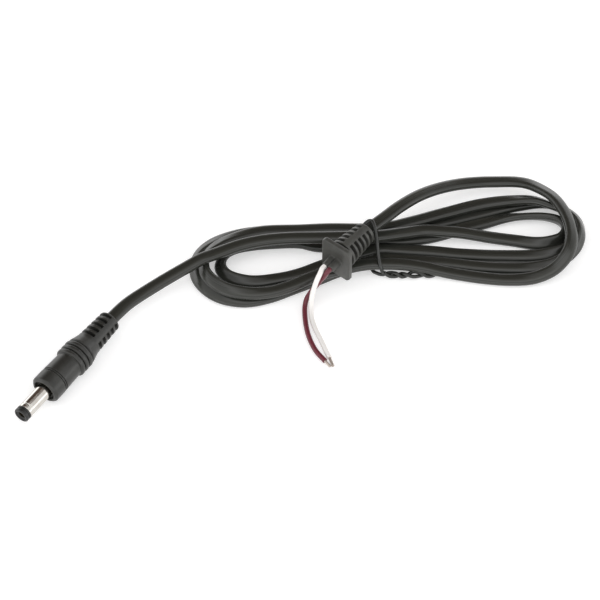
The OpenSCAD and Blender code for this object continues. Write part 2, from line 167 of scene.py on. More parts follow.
@dataclass(frozen=True)
class Finish:
    """A procedural material: a body colour broken up by noise, with a grained surface."""

    name: str
    colour: Colour
    tint: Colour
    roughness: tuple[float, float]
    metallic: float = 0.0
    grain: Grain = Grain.SOLID
    patch_scale: float = 260.0
    grain_scale: float = 5200.0
    grain_height: float = 0.00002
    grain_strength: float = 0.25

    def pattern(self, tree: Tree) -> NodeSocket:
        """The coordinates of the finish's pattern, in metres.

        Args:
            tree: The material's node tree.

        Returns:
            A vector socket.
        """
        if self.grain is Grain.ALONG:
            along, lane, crown = (
                tree.add("ShaderNodeAttribute", attribute_name=name).outputs["Fac"]
                for name in ("along", "lane", "crown")
            )
            stretched = tree.math("MULTIPLY", along, STRETCH_ALONG)
            return tree.add("ShaderNodeCombineXYZ", {0: stretched, 1: lane, 2: crown}).outputs[0]
        where = tree.add("ShaderNodeTexCoord").outputs["Object"]
        if self.grain is Grain.TURNED:
            return tree.add(
                "ShaderNodeMapping", {"Vector": where, "Scale": TURNED_SQUEEZE},
                vector_type="POINT",
            ).outputs[0]
        return where

    def material(self) -> Material:
        """Builds the material, or returns the one already built.

        Returns:
            The Blender material with the finish's name.
        """
        made = bpy.data.materials.get(self.name)
        if made:
            return made
        made = bpy.data.materials.new(self.name)
        made.use_nodes = True
        tree = Tree(made.node_tree)
        shader = made.node_tree.nodes["Principled BSDF"]
        where = self.pattern(tree)
        patch = tree.add(
            "ShaderNodeTexNoise",
            {"Vector": where, "Scale": self.patch_scale, "Detail": 4.0, "Roughness": 0.6},
        ).outputs["Fac"]
        fine = tree.add(
            "ShaderNodeTexNoise",
            {"Vector": where, "Scale": self.grain_scale, "Detail": 2.0, "Roughness": 0.5},
        ).outputs["Fac"]
        low, high = NOISE_SPREAD
        tree.put(shader.inputs["Base Color"],
                 tree.mix(tree.step(patch, low, high), (*self.colour, 1), (*self.tint, 1)))
        smooth, rough = self.roughness
        spread = tree.add(
            "ShaderNodeMapRange",
            {"Value": fine, "From Min": low, "From Max": high, "To Min": smooth, "To Max": rough},
        )
        tree.put(shader.inputs["Roughness"], spread.outputs["Result"])
        bump = tree.add(
            "ShaderNodeBump",
            {"Height": fine, "Strength": self.grain_strength, "Distance": self.grain_height},
        )
        tree.put(shader.inputs["Normal"], bump.outputs["Normal"])
        shader.inputs["Metallic"].default_value = self.metallic
        return made


WIRE_GRAIN = {"grain": Grain.ALONG, "patch_scale": 1.5, "grain_scale": 6.0}
GRIP_VINYL = Finish("grip_vinyl", (0.014, 0.014, 0.012), (0.022, 0.022, 0.019), (0.28, 0.42))
NOSE_NYLON = Finish("nose_nylon", (0.006, 0.006, 0.005), (0.011, 0.011, 0.010), (0.30, 0.42))
RELIEF_VINYL = Finish("relief_vinyl", (0.038, 0.038, 0.034), (0.052, 0.052, 0.046), (0.34, 0.48))
JACKET_VINYL = Finish(
    "jacket_vinyl", (0.020, 0.021, 0.0175), (0.030, 0.031, 0.026), (0.19, 0.28),
    grain=Grain.ALONG, patch_scale=1.2, grain_scale=9.0, grain_height=0.00003,
)
RED_VINYL = Finish("red_vinyl", (0.10, 0.012, 0.022), (0.14, 0.018, 0.030), (0.22, 0.34),
                   **WIRE_GRAIN)
WHITE_VINYL = Finish("white_vinyl", (0.80, 0.77, 0.74), (0.86, 0.84, 0.82), (0.22, 0.34),
                     **WIRE_GRAIN)
TIE_VINYL = Finish("tie_vinyl", (0.010, 0.011, 0.009), (0.016, 0.017, 0.015), (0.18, 0.30),
                   **WIRE_GRAIN)
NICKEL = Finish(
    "nickel_plate", (0.66, 0.64, 0.60), (0.58, 0.55, 0.51), (0.08, 0.16), metallic=1.0,
    grain=Grain.TURNED, grain_scale=3600.0, grain_height=0.000006, grain_strength=0.2,
)
BRASS = Finish(
    "contact_plate", (0.42, 0.35, 0.20), (0.34, 0.27, 0.15), (0.20, 0.34), metallic=1.0,
    grain=Grain.TURNED, grain_scale=3600.0, grain_height=0.000006,
)
COPPER = Finish("bare_copper", (0.62, 0.33, 0.18), (0.50, 0.25, 0.13), (0.30, 0.45), metallic=1.0)
SOLDER = Finish("dull_solder", (0.48, 0.48, 0.49), (0.38, 0.38, 0.39), (0.35, 0.55), metallic=1.0)
TINNED = Finish(
    "tinned_strand", (0.60, 0.56, 0.52), (0.42, 0.34, 0.29), (0.24, 0.42), metallic=1.0,
    grain=Grain.ALONG, patch_scale=3.0, grain_scale=8.0,
)


# --- Placing and finishing pieces ---


@dataclass(frozen=True)
class Placement:
    """A local frame with its X axis along a moulding's axis, level with the table."""

    x: float
    y: float
    z: float
    turn_deg: float = 0.0

    @property
    def matrix(self) -> Matrix:
        """The frame as a matrix."""
        turn = Matrix.Rotation(math.radians(self.turn_deg), 4, "Z")
        return Matrix.Translation((self.x, self.y, self.z)) @ turn

    def point(self, x: float, y: float = 0.0) -> Point:
        """Places a point of the moulding's middle plane.

        Args:
            x: Distance along the moulding.
            y: Distance to its side.

        Returns:
            The point in the model's frame.
        """
        return tuple(self.matrix @ Vector((x, y, 0)))


def placed(name: str, data: ID) -> Object:
    """Links new data into the scene.

    Args:
        name: The object's name.
        data: Its mesh, lamp or camera.

    Returns:
        The new object.
    """
    made = bpy.data.objects.new(name, data)
    bpy.context.scene.collection.objects.link(made)
    return made


def metres(rows: list[tuple]) -> list[tuple]:
    """Scales rows of numbers.

    Args:
        rows: The rows, in millimetres.

    Returns:
        The same rows in metres.
    """
    return [tuple(v * MM for v in row) for row in rows]


def creased(mesh: Mesh, degrees: float = 40.0) -> Mesh:
    """Shades a mesh smooth between its folds.

    Args:
        mesh: The mesh.
        degrees: The least angle that stays a sharp edge.

    Returns:
        The same mesh.
    """
    mesh.shade_smooth()
    mesh.set_sharp_from_angle(angle=math.radians(degrees))
    return mesh


def piece(name: str, mesh: Mesh, finish: Finish, slot: str, *nodes: str) -> Object:
    """Links a mesh as a finished piece that rides with the part.

    Args:
        name: The piece's name.
        mesh: Its mesh, already in place.
        finish: Its material.
        slot: The record's material slot; not used.
        nodes: The CAD nodes that it replaces.

    Returns:
        The new object.
    """
    made = placed(name, mesh)
    mesh.materials.clear()
    mesh.materials.append(finish.material())
    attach(made, BODY)
    if nodes:
        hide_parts(*nodes)
    log.info("%s: %d vertices", name, len(mesh.vertices))
    return made


def baked(name: str, mesh: Mesh, tree: NodeTree, inputs: dict[str, object]) -> Mesh:
    """Runs a geometry node tree on a mesh and returns the plain result.

    Args:
        name: Name of the resulting mesh.
        mesh: The mesh that the tree starts from.
        tree: The geometry node tree.
        inputs: Input socket name to value.

    Returns:
        The evaluated mesh, with every instance realised.
    """
    carrier = placed(f"{name}_source", mesh)
    modifier = carrier.modifiers.new("build", "NODES")
    modifier.node_group = tree
    for item in tree.interface.items_tree:
        if item.item_type == "SOCKET" and item.in_out == "INPUT" and item.name in inputs:
            modifier[item.identifier] = inputs[item.name]
    bpy.context.view_layer.update()
    graph = bpy.context.evaluated_depsgraph_get()
    made = bpy.data.meshes.new_from_object(
        carrier.evaluated_get(graph), preserve_all_data_layers=True, depsgraph=graph
    )
    made.name = name
    bpy.data.objects.remove(carrier)
    bpy.data.meshes.remove(mesh)
    return made


def node_group(name: str, floats: tuple[str, ...], ints: tuple[str, ...] = ()) -> NodeTree:
    """Starts a geometry node tree that takes a geometry and a finish, and gives a geometry.

    Args:
        name: The tree's name.
        floats: Names of its number inputs.
        ints: Names of its whole number inputs.

    Returns:
        The new tree, with its sockets and no nodes.
    """
    made = bpy.data.node_groups.new(name, "GeometryNodeTree")
    rows = [("Geometry", "Geometry"), *((n, "Float") for n in floats), *((n, "Int") for n in ints),
            ("Finish", "Material")]
    for title, kind in rows:
        made.interface.new_socket(title, in_out="INPUT", socket_type=f"NodeSocket{kind}")
    made.interface.new_socket("Geometry", in_out="OUTPUT", socket_type="NodeSocketGeometry")
    return made


def dressed(tree: Tree, geometry: object, finish: object) -> None:
    """Ends a geometry node tree with plain, finished geometry.

    Args:
        tree: The tree.
        geometry: The socket of the built geometry.
        finish: The socket of its material.
    """
    real = tree.add("GeometryNodeRealizeInstances", {0: geometry}).outputs[0]
    coat = tree.add("GeometryNodeSetMaterial", {"Geometry": real, "Material": finish}).outputs[0]
    tree.add("NodeGroupOutput", {0: coat})


# --- Turned and slotted mouldings ---


def filleted(corners: Profile, steps: int = 4, hold: float = 0.12 * MM) -> np.ndarray:
    """Rounds the corners of an outline, and holds its long runs straight.

    Args:
        corners: (along, radius, fillet) of each corner.
        steps: Segments in each fillet.
        hold: Distance of an extra point from either end of a long run.

    Returns:
        The rounded outline, one [along, radius] row per point.
    """
    line = []
    for i, (x, r, fillet) in enumerate(corners):
        here = np.array([x, r])
        if fillet <= 0 or i in (0, len(corners) - 1):
            line.append(here)
            continue
        before = np.array(corners[i - 1][:2]) - here
        after = np.array(corners[i + 1][:2]) - here
        reach = min(fillet, 0.45 * np.linalg.norm(before), 0.45 * np.linalg.norm(after))
        a = here + before / np.linalg.norm(before) * reach
        b = here + after / np.linalg.norm(after) * reach
        for t in np.linspace(0, 1, steps + 1):
            line.append((1 - t) ** 2 * a + 2 * t * (1 - t) * here + t * t * b)
    held = [line[0]]
    for a, b in zip(line[:-1], line[1:]):
        run = np.linalg.norm(b - a)
        if run > 5 * hold:
            held += [a + (b - a) * hold / run, b - (b - a) * hold / run]
        held.append(b)
    return np.array(held)


def with_stations(line: np.ndarray, stations: np.ndarray) -> np.ndarray:
    """Adds points to the outer run of an outline where slot edges will fall.

    Args:
        line: The outline.
        stations: Places along the axis that need a point.

    Returns:
        The outline with the extra points.
    """
    made = [line[0]]
    for a, b in zip(line[:-1], line[1:]):
        if b[0] > a[0] + 1e-7:
            for x in stations[(stations > a[0] + 1e-6) & (stations < b[0] - 1e-6)]:
                made.append(a + (b - a) * (x - a[0]) / (b[0] - a[0]))
        made.append(b)
    return np.array(made)


def turned_mesh(name: str, line: np.ndarray, around: int = 96, loop: bool = False) -> Mesh:
    """Revolves an outline about X.

    Args:
        name: The mesh's name.
        line: The outline, running from the front to the back on the outside.
        around: Points round the axis.
        loop: Whether the outline closes on itself instead of ending on the axis.

    Returns:
        A closed mesh with its faces outwards.
    """
    angles = np.arange(around) * 2 * math.pi / around
    rows, points, faces = [], [], []
    for x, r in line:
        if r < 1e-7:
            rows.append([len(points)] * around)
            points.append((x, 0.0, 0.0))
        else:
            rows.append(list(range(len(points), len(points) + around)))
            points += [(x, r * math.cos(a), r * math.sin(a)) for a in angles]
    pairs = list(zip(rows[:-1], rows[1:])) + ([(rows[-1], rows[0])] if loop else [])
    for a, b in pairs:
        for k in range(around):
            n = (k + 1) % around
            ring = [a[k], a[n], b[n], b[k]]
            face = list(dict.fromkeys(ring))
            if len(face) > 2:
                faces.append(face)
    mesh = bpy.data.meshes.new(name)
    mesh.from_pydata(points, [], faces)
    return creased(mesh)


def outwards(mesh: Mesh) -> Mesh:
    """Flips a closed mesh whose signed volume is negative.

    Args:
        mesh: The closed mesh.

    Returns:
        The same mesh, with its faces outwards.
    """
    mesh.calc_loop_triangles()
    volume = sum(
        Vector(mesh.vertices[t.vertices[0]].co).dot(
            mesh.vertices[t.vertices[1]].co.cross(mesh.vertices[t.vertices[2]].co)
        )
        for t in mesh.loop_triangles
    )
    if volume < 0:
        mesh.flip_normals()
    return mesh


SLOT_START = 1.1


@dataclass(frozen=True)
class Slots:
    """The ring slots of a bend relief boot, each broken by two spines."""

    first: float
    count: int = 5
    pitch: float = 2.35 * MM
    width: float = 1.25 * MM
    core: float = 2.7 * MM
    spine: float = 2.8 * MM
    turn_deg: float = 45.0
    soft: float = 0.16 * MM

    def stations(self) -> np.ndarray:
        """Finds the places along the axis where the outline needs points.

        Returns:
            Eight places across each edge of each slot.
        """
        edge = np.array([-0.6, -0.42, -0.25, -0.08, 0.08, 0.25, 0.42, 0.6]) * self.soft
        starts = self.first + self.pitch * np.arange(self.count)
        return np.concatenate([s + e for s in starts for e in (edge, self.width + edge)])

    @staticmethod
    def tree() -> NodeTree:
        """Builds the geometry nodes that carve slots between spines into a turned boot.

        Returns:
            The node tree, built once.
        """
        made = bpy.data.node_groups.get("carve_relief_slots")
        if made:
            return made
        made = node_group("carve_relief_slots",
                          ("First", "Pitch", "Width", "Core", "Spine", "Turn", "Soft", "Last"))
        tree = Tree(made)
        calc = tree.math
        given = tree.add("NodeGroupInput").outputs
        where = tree.add("GeometryNodeInputPosition").outputs[0]
        x, y, z = tree.add("ShaderNodeSeparateXYZ", {0: where}).outputs
        radius = calc("SQRT", calc("MULTIPLY_ADD", y, y, calc("MULTIPLY", z, z)))
        run = calc("SUBTRACT", x, given["First"])
        index = calc("FLOOR", calc("DIVIDE", calc("ADD", run, given["Soft"]), given["Pitch"]))
        index = calc("MAXIMUM", calc("MINIMUM", index, given["Last"]), 0.0)
        inside = calc("SUBTRACT", run, calc("MULTIPLY", index, given["Pitch"]))
        half = calc("MULTIPLY", given["Soft"], 0.5)
        less = calc("MULTIPLY", half, -1.0)
        front = tree.step(inside, less, half)
        back = tree.step(inside, calc("SUBTRACT", given["Width"], half),
                         calc("ADD", given["Width"], half))
        slot = calc("MULTIPLY", front, calc("SUBTRACT", 1.0, back))
        side = calc("ABSOLUTE", calc(
            "MULTIPLY_ADD", y, calc("COSINE", given["Turn"]),
            calc("MULTIPLY", z, calc("SINE", given["Turn"])),
        ))
        rib = calc("MULTIPLY", given["Spine"], 0.5)
        web = tree.step(side, calc("SUBTRACT", rib, half), calc("ADD", rib, half))
        depth = calc("MULTIPLY", slot, web)
        drop = calc("MINIMUM", calc("SUBTRACT", given["Core"], radius), 0.0)
        cut = calc("MULTIPLY_ADD", drop, depth, radius)
        scale = calc("DIVIDE", cut, calc("MAXIMUM", radius, 1e-6))
        place = tree.add("ShaderNodeCombineXYZ", {
            0: x, 1: calc("MULTIPLY", y, scale), 2: calc("MULTIPLY", z, scale)})
        moved = tree.add("GeometryNodeSetPosition",
                         {"Geometry": given["Geometry"], "Position": place.outputs[0]})
        dressed(tree, moved.outputs[0], given["Finish"])
        return made

    def carve(self, name: str, line: np.ndarray, finish: Finish) -> Mesh:
        """Revolves an outline and carves the slots into it.

        Args:
            name: The mesh's name.
            line: The moulding's outline.
            finish: Its material.

        Returns:
            The carved mesh in the moulding's own frame.
        """
        blank = turned_mesh(f"{name}_blank", with_stations(line, self.stations()), 144)
        return baked(name, blank, self.tree(), {
            "First": self.first, "Pitch": self.pitch, "Width": self.width, "Core": self.core,
            "Spine": self.spine, "Turn": math.radians(self.turn_deg), "Soft": self.soft,
            "Last": float(self.count - 1), "Finish": finish.material(),
        })


# --- Sweeps ---

GROOVE_SHARPNESS = 12.0


@dataclass(frozen=True)
class Section:
    """The cross-section of a cable or wire: an oval, with a groove between two cores.

    A full of 1 is a plain oval; less than 1 swells its corners.
    """

    width: float
    thick: float
    groove: float = 0.0
    sides: int = 20
    full: float = 1.0

    @staticmethod
    def tree() -> NodeTree:
        """Builds the geometry nodes that sweep a section along a line of points.

        Returns:
            The node tree, built once.
        """
        made = bpy.data.node_groups.get("sweep_along_route")
        if made:
            return made
        made = node_group("sweep_along_route", ("Width", "Thick", "Groove", "Full"), ("Sides",))
        tree = Tree(made)
        calc = tree.math
        given = tree.add("NodeGroupInput").outputs
        line = tree.add("GeometryNodeMeshToCurve", {"Mesh": given["Geometry"]}).outputs[0]
        level = tree.add("GeometryNodeSetCurveNormal", {"Curve": line}, mode="Z_UP").outputs[0]
        roll = tree.add("GeometryNodeInputNamedAttribute", {"Name": "roll"}, data_type="FLOAT")
        tilted = tree.add("GeometryNodeSetCurveTilt",
                          {"Curve": level, "Tilt": roll.outputs["Attribute"]}).outputs[0]
        length = tree.add("GeometryNodeSplineParameter").outputs["Length"]
        rail = tree.add("GeometryNodeStoreNamedAttribute",
                        {"Geometry": tilted, "Name": "along", "Value": length},
                        data_type="FLOAT", domain="POINT").outputs[0]
        circle = tree.add("GeometryNodeCurvePrimitiveCircle",
                          {"Resolution": given["Sides"], "Radius": 1.0}).outputs[0]
        where = tree.add("GeometryNodeInputPosition").outputs[0]
        split = tree.add("ShaderNodeSeparateXYZ", {0: where}).outputs
        ring = circle
        for name, value in (("lane", split[0]), ("crown", split[1])):
            ring = tree.add("GeometryNodeStoreNamedAttribute",
                            {"Geometry": ring, "Name": name, "Value": value},
                            data_type="FLOAT", domain="POINT").outputs[0]
        bell = calc("MULTIPLY", calc("MULTIPLY", split[0], split[0]), -GROOVE_SHARPNESS)
        dip = calc("MULTIPLY", calc("EXPONENT", bell), given["Groove"])
        wide, high = (calc("MULTIPLY", calc("SIGN", s), calc(
            "POWER", calc("ABSOLUTE", s), given["Full"])) for s in split[:2])
        tall = calc("MULTIPLY", calc("SUBTRACT", 1.0, dip), high)
        outline = tree.add("ShaderNodeCombineXYZ", {
            0: calc("MULTIPLY", calc("MULTIPLY", wide, given["Width"]), 0.5),
            1: calc("MULTIPLY", calc("MULTIPLY", tall, given["Thick"]), 0.5),
        }).outputs[0]
        profile = tree.add("GeometryNodeSetPosition",
                           {"Geometry": ring, "Position": outline}).outputs[0]
        swept = tree.add("GeometryNodeCurveToMesh",
                         {"Curve": rail, "Profile Curve": profile, "Fill Caps": True}).outputs[0]
        dressed(tree, swept, given["Finish"])
        return made

    def sweep(
        self, name: str, path: np.ndarray, finish: Finish, roll: np.ndarray | None = None
    ) -> Mesh:
        """Sweeps the section along a path.

        Args:
            name: The mesh's name.
            path: The centreline's points.
            finish: The material.
            roll: Turn of the section about the path at each point, in radians.

        Returns:
            The swept mesh with closed ends.
        """
        line = bpy.data.meshes.new(f"{name}_line")
        line.from_pydata([tuple(p) for p in path], [(i, i + 1) for i in range(len(path) - 1)], [])
        turns = line.attributes.new("roll", "FLOAT", "POINT")
        turns.data.foreach_set("value", (np.zeros(len(path)) if roll is None else roll)
                               .astype(np.float32))
        made = baked(name, line, self.tree(), {
            "Width": self.width, "Thick": self.thick, "Groove": self.groove,
            "Full": self.full, "Sides": self.sides, "Finish": finish.material(),
        })
        return outwards(creased(made, 60.0))


def smooth_line(points: np.ndarray, spacing: float) -> np.ndarray:
    """Draws a centripetal spline through points and spaces it evenly.

    Args:
        points: Given points; columns after the third are carried along.
        spacing: Distance between the new points.

    Returns:
        The evenly spaced points with the same columns.
    """
    first, last = 2 * points[0] - points[1], 2 * points[-1] - points[-2]
    control = np.vstack([first, points, last])
    gaps = np.sqrt(np.linalg.norm(np.diff(control[:, :3], axis=0), axis=1))
    knots = np.concatenate([[0], np.cumsum(gaps)])
    fine = []
    for i in range(1, len(control) - 2):
        p, t = control[i - 1:i + 3], knots[i - 1:i + 3]
        s = np.linspace(t[1], t[2], 24, endpoint=False)[:, None]
        a = [(t[k + 1] - s) / (t[k + 1] - t[k]) * p[k] + (s - t[k]) / (t[k + 1] - t[k]) * p[k + 1]
             for k in range(3)]
        b = [(t[k + 2] - s) / (t[k + 2] - t[k]) * a[k] + (s - t[k]) / (t[k + 2] - t[k]) * a[k + 1]
             for k in range(2)]
        fine.append((t[2] - s) / (t[2] - t[1]) * b[0] + (s - t[1]) / (t[2] - t[1]) * b[1])
    dense = np.vstack([*fine, control[-2:-1]])
    return evenly(dense, spacing)


def evenly(line: np.ndarray, spacing: float) -> np.ndarray:
    """Spaces a dense line's points evenly.

    Args:
        line: The dense line, one row per point.
        spacing: Distance between the new points.

    Returns:
        The evenly spaced rows.
    """
    walked = np.concatenate([[0], np.cumsum(np.linalg.norm(np.diff(line[:, :3], axis=0), axis=1))])
    stops = np.linspace(0, walked[-1], max(2, round(walked[-1] / spacing) + 1))
    return np.stack([np.interp(stops, walked, line[:, c]) for c in range(line.shape[1])], axis=1)


def length_of(line: np.ndarray) -> float:
    """Measures a line of points.

    Args:
        line: The line, one row per point.

    Returns:
        Its length.
    """
    return float(np.linalg.norm(np.diff(line[:, :3], axis=0), axis=1).sum())


# --- Camera and stage ---


@dataclass
class Studio:
    """The camera, the plain pale floor and the soft lights."""

    target: Point = (0.0721, -0.0466, 0.0)
    azimuth_deg: float = -56.5
    elevation_deg: float = 50.0
    distance: float = 0.700
    lens_mm: float = 120.1
    floor_half: float = 4.0
    floor_grey: float = 0.72
    floor_glow: float = 0.46
    overhead_at: tuple[float, float] = (0.0, 88.0)
    overhead_height: float = 1.6
    overhead_size: float = 1.3
    overhead_power: float = 4.0
    sweep_light: float = 2.3
    ceiling_light: float = 1.0
    sweep_edge: tuple[float, float] = (0.16, 0.42)
    flag_at: tuple[float, float] = (127.0, 57.0)
    flag_reach: tuple[float, float] = (43.0, 28.0)
    flag_colour: Colour = (0.11, 0.08, 0.065)

    def direction(self, azimuth_deg: float, elevation_deg: float) -> Vector:
        """Finds the way from the object to a place in the room.

        Args:
            azimuth_deg: The place's azimuth round the object.
            elevation_deg: Its height above the horizon.

        Returns:
            The unit vector.
        """
        a, e = math.radians(azimuth_deg), math.radians(elevation_deg)
        return Vector((math.sin(a) * math.cos(e), -math.cos(a) * math.cos(e), math.sin(e)))

    def aim(self, made: Object, azimuth_deg: float, elevation_deg: float, distance: float) -> None:
        """Places a camera or lamp so that it faces the object.

        Args:
            made: The camera or lamp.
            azimuth_deg: Its azimuth round the object.
            elevation_deg: Its height above the horizon.
            distance: Its distance from the object.
        """
        out = self.direction(azimuth_deg, elevation_deg)
        made.location = Vector(self.target) + out * distance
        made.rotation_euler = (-out).to_track_quat("-Z", "Y").to_euler()

    def camera(self) -> None:
        """Sets the scene's camera at the view that the lead is shown from."""
        data = bpy.data.cameras.new("camera")
        data.lens = self.lens_mm
        data.clip_start, data.clip_end = 0.01, 20.0
        made = placed("camera", data)
        self.aim(made, self.azimuth_deg, self.elevation_deg, self.distance)
        bpy.context.scene.camera = made

    def build(self) -> None:
        """Builds the floor, the soft box over it and the room's light."""
        mesh = bpy.data.meshes.new("floor")
        corners = [(x * self.floor_half, y * self.floor_half, 0)
                   for x, y in ((-1, -1), (1, -1), (1, 1), (-1, 1))]
        mesh.from_pydata(corners, [], [(0, 1, 2, 3)])
        floor = placed("floor", mesh)
        paper = bpy.data.materials.new("paper")
        paper.use_nodes = True
        shader = paper.node_tree.nodes["Principled BSDF"]
        shader.inputs["Base Color"].default_value = (*[self.floor_grey] * 3, 1)
        shader.inputs["Emission Color"].default_value = (1, 1, 1, 1)
        for name, value in (("Roughness", 0.9), ("Specular IOR Level", 0.1),
                            ("Emission Strength", self.floor_glow)):
            shader.inputs[name].default_value = value
        mesh.materials.append(paper)
        self.room()
        data = bpy.data.lights.new("overhead", "AREA")
        data.shape = "RECTANGLE"
        data.size = data.size_y = self.overhead_size
        data.energy = self.overhead_power
        self.aim(placed("overhead", data), *self.overhead_at, self.overhead_height)

    def room(self) -> None:
        """Lights the room as a white sweep does, with a dark flag hung behind the hank."""
        world = bpy.data.worlds.new("room")
        bpy.context.scene.world = world
        world.use_nodes = True
        tree = Tree(world.node_tree)
        way = tree.add("ShaderNodeTexCoord").outputs["Generated"]
        height = tree.add("ShaderNodeSeparateXYZ", {0: way}).outputs[2]
        glow = tree.step(height, *self.sweep_edge, self.sweep_light, self.ceiling_light)
        flag = tree.add("ShaderNodeVectorMath", {0: way, 1: self.direction(*self.flag_at)},
                        operation="DOT_PRODUCT").outputs["Value"]
        rim, heart = (math.cos(math.radians(a)) for a in self.flag_reach)
        white = tree.add("ShaderNodeCombineXYZ", {0: glow, 1: glow, 2: glow}).outputs[0]
        background = world.node_tree.nodes["Background"]
        tree.put(background.inputs["Color"],
                 tree.mix(tree.step(flag, rim, heart), white, (*self.flag_colour, 1)))
        background.inputs["Strength"].default_value = 1.0
        bpy.context.scene.view_settings.view_transform = "Standard"


# --- Plug ---


@dataclass
class Plug:
    """The moulded plug: grip with bend relief boot, metal barrel, nose and contact."""

    place: Placement = Placement(0.0, 0.0, 5.75 * MM)
    tip: float = -24.475
    metal: float = -22.275
    face: float = -12.075
    collar: float = 5.3
    body: float = 5.2
    ring: float = 5.75
    rings: int = 3
    rings_at: float = 14.0
    ring_pitch: float = 2.05
    boot_at: float = 23.95
    length: float = 36.55

    def grip_outline(self) -> Profile:
        """Lists the grip's corners from its front recess to its end.

        Returns:
            The corners in millimetres, from the grip's front face.
        """
        body = self.body
        line = [(3.0, 0, 0), (3.0, 2.78, 0), (1.5, 2.78, 0.05), (1.45, 3.7, 0.15),
                (0.1, 3.95, 0.15), (0, 4.45, 0.15), (0.8, self.collar, 0.3),
                (5.1, self.collar, 0.15), (5.2, 4.85, 0.06), (5.45, 4.85, 0.06),
                (5.55, 5.2, 0.08), (5.85, 5.2, 0.08), (5.95, 4.8, 0.06), (6.2, 4.8, 0.06),
                (6.3, body, 0.15)]
        for i in range(self.rings):
            x = self.rings_at + i * self.ring_pitch
            line += [(x - 0.12, body - 0.25, 0.08), (x + 0.02, self.ring - 0.3, 0.12),
                     (x + 0.35, self.ring, 0.25), (x + 1.2, self.ring, 0.3),
                     (x + 1.52, self.ring - 0.35, 0.12), (x + 1.66, body - 0.25, 0.08)]
        end = self.rings_at + self.rings * self.ring_pitch
        line += [(end - 0.12, body - 0.25, 0.08), (end + 0.25, body + 0.25, 0.25),
                 (end + 1.5, body - 0.1, 0.5), (self.boot_at, 4.5, 0.6),
                 (self.length, 3.9, 0.55), (self.length, 0, 0)]
        return line

    def grip(self) -> None:
        """Builds the grip with its collar, finger rings and slotted boot."""
        slots = Slots(first=(self.boot_at + SLOT_START) * MM)
        mesh = slots.carve("grip_moulding", filleted(metres(self.grip_outline())), GRIP_VINYL)
        mesh.transform(self.place.matrix @ Matrix.Translation((self.face * MM, 0, 0)))
        piece("grip_moulding", outwards(creased(mesh)), GRIP_VINYL, "black_moulding", "plug_grip")

    def ring_piece(self, name: str, corners: Profile, finish: Finish, slot: str,
                   node: str) -> None:
        """Builds a turned tube of the plug from a closed outline.

        Args:
            name: The piece's name.
            corners: Its closed outline in millimetres along the plug.
            finish: Its material.
            slot: The record's material slot.
            node: The CAD node that it replaces.
        """
        mesh = turned_mesh(name, filleted(metres(corners)), loop=True)
        mesh.transform(self.place.matrix)
        piece(name, outwards(mesh), finish, slot, node)

    def build(self) -> None:
        """Builds the whole plug and dresses the nodes that stay."""
        self.grip()
        metal, face, tip = self.metal, self.face, self.tip
        self.ring_piece("barrel_tube", [
            (face + 2, 2.25, 0), (metal, 2.25, 0.05), (metal, 2.75, 0.12),
            (metal + 1.2, 2.75, 0.08), (metal + 1.3, 2.55, 0.08), (metal + 1.7, 2.55, 0.08),
            (metal + 1.8, 2.75, 0.08), (face + 2, 2.75, 0)], NICKEL, "nickel", "barrel_sleeve")
        self.ring_piece("nose_ring", [
            (metal + 4, 1.58, 0), (tip + 1, 1.58, 0.05), (tip + 1, 1.3, 0.05),
            (tip + 0.6, 1.3, 0.1), (tip + 0.45, 1.85, 0.08), (tip, 2.0, 0.1),
            (tip, 2.45, 0.12), (tip + 0.3, 2.75, 0.15), (tip + 1.15, 2.75, 0.06),
            (tip + 1.22, 2.5, 0.04), (tip + 1.48, 2.5, 0.04), (tip + 1.55, 2.75, 0.06),
            (metal - 0.02, 2.75, 0.06), (metal - 0.02, 2.2, 0.02), (metal + 4, 2.2, 0)],
            NOSE_NYLON, "black_nylon", "insulator")
        for node, finish in {
            "centre_contact": BRASS, "centre_solder": SOLDER, "sleeve_solder": SOLDER,
            "core_red": RED_VINYL, "core_white": WHITE_VINYL,
            "strands_red": COPPER, "strands_white": COPPER,
        }.items():
            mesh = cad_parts[node].data
            mesh.materials.clear()
            mesh.materials.append(finish.material())


# --- Cable ---


